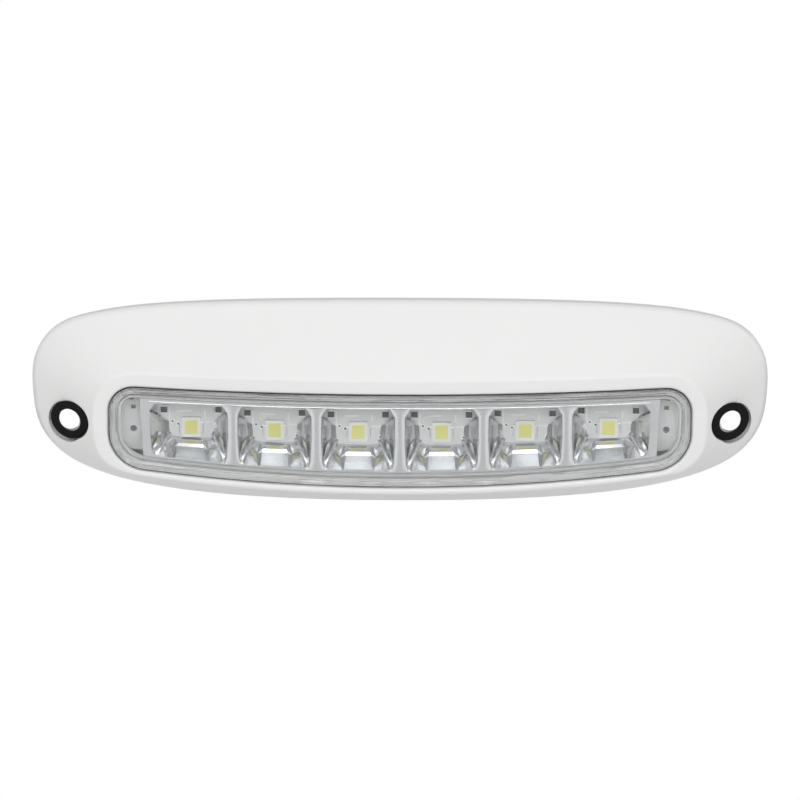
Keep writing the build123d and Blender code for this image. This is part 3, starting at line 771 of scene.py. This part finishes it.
# %% [markdown]
# ## The rubber rings
#
# A black rubber ring lines each screw hole. Its flat lip lies on the sloping end of the housing,
# and its bore runs straight back along the screw. So the ring is spun upright from its profile,
# laid on the slope, and then slid sideways level by level, which leaves every level round.

# %% Rubber rings
RING_TILT = radians(34.0)
RING_AIM = radians(43.0)
RING_BORE = 2.7
RING_RADIUS = 4.69
RING_OUT = 1.5
RING_STEPS = 64
# radius and level of the ring's section, from the bottom of the bore round to the outside
RING_PROFILE = (
    (RING_BORE, -3.2), (RING_BORE, -0.25), (RING_BORE + 0.2, -0.05), (RING_RADIUS - 0.45, 0.0),
    (RING_RADIUS - 0.12, -0.12), (RING_RADIUS, -0.4), (RING_RADIUS, -3.2),
)
HOLE_Z = -4.4 * MM
HOLE_X = 73.9 * MM


def ring_lie(side):
    """How a ring lies: its turn, and the place where the screw's axis meets its top."""
    out = sin(RING_TILT) * cos(RING_AIM) * side
    slope = Vector((out, -cos(RING_TILT), -sin(RING_TILT) * sin(RING_AIM)))
    middle = centre("screw_grommet_left" if side < 0 else "screw_grommet_right")
    top = Vector((side * HOLE_X, middle.y - RING_OUT * MM, HOLE_Z))
    return slope.to_track_quat("Z", "Y").to_matrix(), top


def lay_on_slope(sheet, side):
    """Lay an upright shape on the slope; its height runs straight out of the wall."""
    turn, top = ring_lie(side)
    for vert in sheet.verts:
        in_plane = turn @ Vector((vert.co.x, vert.co.y, 0.0))
        vert.co = top + in_plane + Vector((0.0, -vert.co.z, 0.0))
    bmesh.ops.recalc_face_normals(sheet, faces=sheet.faces)


def spun_ring(side):
    ring = bmesh.new()
    verts = [ring.verts.new((radius * MM, 0.0, level * MM)) for radius, level in RING_PROFILE]
    edges = [ring.edges.new(pair) for pair in zip(verts, verts[1:])]
    edges.append(ring.edges.new((verts[-1], verts[0])))
    bmesh.ops.spin(
        ring, geom=verts + edges, cent=(0, 0, 0), axis=(0, 0, 1), angle=radians(360),
        steps=RING_STEPS, use_merge=True,
    )
    lay_on_slope(ring, side)
    return ring


for side, name in ((-1, "left"), (1, "right")):
    finished_piece(
        "rubber_ring_" + name, spun_ring(side), ring_rubber,
        ["screw_grommet_" + name],
    )
print("rings ready")

# %% [markdown]
# ## Pockets for the rings
#
# A mould opens straight out from the wall, so the pocket that holds a ring has walls parallel to
# that, and the whole ring shows from the front. The pockets are cut in a copy of the housing by
# a Boolean modifier. The cut would spoil the smooth shading, so the sharp edges are marked
# again by angle and a Weighted Normal modifier keeps the flat parts flat.

# %% Housing with pockets
POCKET_RADIUS = 4.83
POCKET_DEPTH = 1.2
POCKET_REACH = 4.0
POCKET_SEGMENTS = 96
SHARP_ANGLE = radians(28.0)


def pocket_cutter():
    cutter = bmesh.new()
    for side in (-1, 1):
        pocket = bmesh.new()
        bmesh.ops.create_circle(
            pocket, cap_ends=True, segments=POCKET_SEGMENTS, radius=POCKET_RADIUS * MM
        )
        bmesh.ops.translate(pocket, verts=pocket.verts, vec=(0, 0, -POCKET_DEPTH * MM))
        grown = bmesh.ops.extrude_face_region(pocket, geom=pocket.faces[:])
        tops = [item for item in grown["geom"] if isinstance(item, bmesh.types.BMVert)]
        bmesh.ops.translate(pocket, verts=tops, vec=(0, 0, POCKET_REACH * MM))
        lay_on_slope(pocket, side)
        part = bpy.data.meshes.new("pocket_part")
        pocket.to_mesh(part)
        pocket.free()
        cutter.from_mesh(part)
        bpy.data.meshes.remove(part)
    mesh = bpy.data.meshes.new("pocket_cutter")
    cutter.to_mesh(mesh)
    cutter.free()
    return bpy.data.objects.new("pocket_cutter", mesh)


housing = finished_piece(
    "housing_shell", merged_copy("housing"), white_plastic, ["housing"]
)
housing.data.shade_smooth()
housing.data.set_sharp_from_angle(angle=SHARP_ANGLE)
cutter = pocket_cutter()
bpy.context.scene.collection.objects.link(cutter)
cut = housing.modifiers.new("pockets", "BOOLEAN")
cut.operation = "DIFFERENCE"
cut.solver = "EXACT"
cut.object = cutter
bpy.context.view_layer.update()
evaluated = housing.evaluated_get(bpy.context.evaluated_depsgraph_get())
cut_mesh = bpy.data.meshes.new_from_object(evaluated)
housing.modifiers.clear()
housing.data = cut_mesh
housing.data.set_sharp_from_angle(angle=SHARP_ANGLE)
weighted = housing.modifiers.new("flat_parts", "WEIGHTED_NORMAL")
weighted.keep_sharp = True
bpy.data.objects.remove(cutter)
print("housing faces:", len(cut_mesh.polygons))

# %% [markdown]
# ## The studio
#
# A white world lights the light evenly from all sides and is also the white background. What
# shiny surfaces mirror is another thing: their world is dark ahead and bright overhead and to
# the sides, so that rounded edges get streaks. Rays that leave through the lens see the white
# background, as the camera does. Two big soft lamps light the hood from above and the lens from
# the front. The floor is pale and throws a little light back up. The camera can't see it, and
# shiny surfaces see it with bright bands to the left and right.

# %% World
WHITE = (1.0, 1.0, 1.0, 1.0)
AMBIENT = 0.42
HEIGHT_RANGE = (0.05, 0.65)
DARK_AHEAD = 0.12
WING_RANGE = (0.12, 0.5)


def smooth_step(tree, value, limits, lowest):
    """Level that climbs softly from the lowest to 1 between two limits."""
    node = tree.nodes.new("ShaderNodeMapRange")
    node.interpolation_type = "SMOOTHSTEP"
    node.inputs["From Min"].default_value, node.inputs["From Max"].default_value = limits
    node.inputs["To Min"].default_value = lowest
    join(tree, value, node.inputs["Value"])
    return node.outputs["Result"]


world = bpy.data.worlds.new("studio_world")
world.use_nodes = True
bpy.context.scene.world = world
sky = world.node_tree
sky.nodes.clear()
path = sky.nodes.new("ShaderNodeLightPath")
seen = add_node(sky, "ShaderNodeBackground", Color=WHITE, Strength=1.0)
ambient = add_node(sky, "ShaderNodeBackground", Color=WHITE, Strength=AMBIENT)
mirrored = add_node(sky, "ShaderNodeBackground", Color=WHITE)
direction = sky.nodes.new("ShaderNodeTexCoord").outputs["Generated"]
toward = sky.nodes.new("ShaderNodeSeparateXYZ")
join(sky, direction, toward.inputs[0])
overhead = smooth_step(sky, toward.outputs["Z"], HEIGHT_RANGE, DARK_AHEAD)
wings = smooth_step(sky, distance_along(sky, direction), WING_RANGE, 0.0)
join(sky, calculate(sky, "MAXIMUM", overhead, wings), mirrored.inputs["Strength"])
soft = mix(sky, path.outputs["Is Glossy Ray"], ambient.outputs[0], mirrored.outputs[0])
either = calculate(
    sky, "MAXIMUM", path.outputs["Is Camera Ray"], path.outputs["Is Transmission Ray"]
)
whole = mix(sky, either, soft, seen.outputs[0])
sky_output = sky.nodes.new("ShaderNodeOutputWorld")
join(sky, whole, sky_output.inputs["Surface"])
print("world ready")


# %% Lamps
def soft_lamp(name, place, size, watts):
    """Square area lamp at a place, turned to the light."""
    data = bpy.data.lights.new(name, "AREA")
    data.shape = "SQUARE"
    data.size = size
    data.energy = watts
    lamp = bpy.data.objects.new(name, data)
    lamp.location = place
    lamp.rotation_euler = (Vector(place) - TARGET).to_track_quat("Z", "Y").to_euler()
    bpy.context.scene.collection.objects.link(lamp)


soft_lamp("overhead_lamp", (0.0, -0.5, 0.9), size=1.1, watts=3.0)
soft_lamp("front_lamp", (0.0, -1.4, 0.05), size=1.2, watts=10.0)
print("lamps ready")

# %% Floor
FLOOR_Z = -0.3
FLOOR_HALF = 3.0
# distance to either side in metres, and how bright shiny surfaces see the floor there
FLOOR_STOPS = ((0.0, 0.62), (0.06, 0.62), (0.14, 1.0), (0.30, 1.0), (0.46, 0.22))


def floor_paper():
    """Pale paper, which shiny surfaces see with bright bands at the sides."""
    material, tree, shader = new_material("floor_paper", (0.9, 0.9, 0.9), Roughness=0.9)
    bands = tree.nodes.new("ShaderNodeValToRGB")
    stops = bands.color_ramp.elements
    while len(stops) < len(FLOOR_STOPS):
        stops.new(0.5)
    for stop, (place, level) in zip(stops, FLOOR_STOPS):
        stop.position = place
        stop.color = (level, level, level, 1.0)
    join(tree, distance_along(tree, object_coordinates(tree)), bands.inputs["Fac"])
    glow = add_node(tree, "ShaderNodeEmission", Strength=1.0)
    join(tree, bands.outputs["Color"], glow.inputs["Color"])
    # the camera never sees this plain glow, but without it the reflections shift a little
    plain = add_node(tree, "ShaderNodeEmission", Strength=1.0)
    path = tree.nodes.new("ShaderNodeLightPath")
    paper = mix(tree, path.outputs["Is Camera Ray"], shader.outputs["BSDF"], plain.outputs[0])
    surface = mix(tree, path.outputs["Is Glossy Ray"], paper, glow.outputs[0])
    join(tree, surface, shader_output(tree).inputs["Surface"])
    return material


floor_mesh = bpy.data.meshes.new("studio_floor")
floor_sheet = bmesh.new()
bmesh.ops.create_grid(floor_sheet, x_segments=1, y_segments=1, size=FLOOR_HALF)
bmesh.ops.translate(floor_sheet, verts=floor_sheet.verts, vec=(0.0, 0.0, FLOOR_Z))
floor_sheet.to_mesh(floor_mesh)
floor_sheet.free()
floor_mesh.materials.append(floor_paper())
floor = bpy.data.objects.new("studio_floor", floor_mesh)
floor.visible_camera = False
bpy.context.scene.collection.objects.link(floor)
print("floor ready")
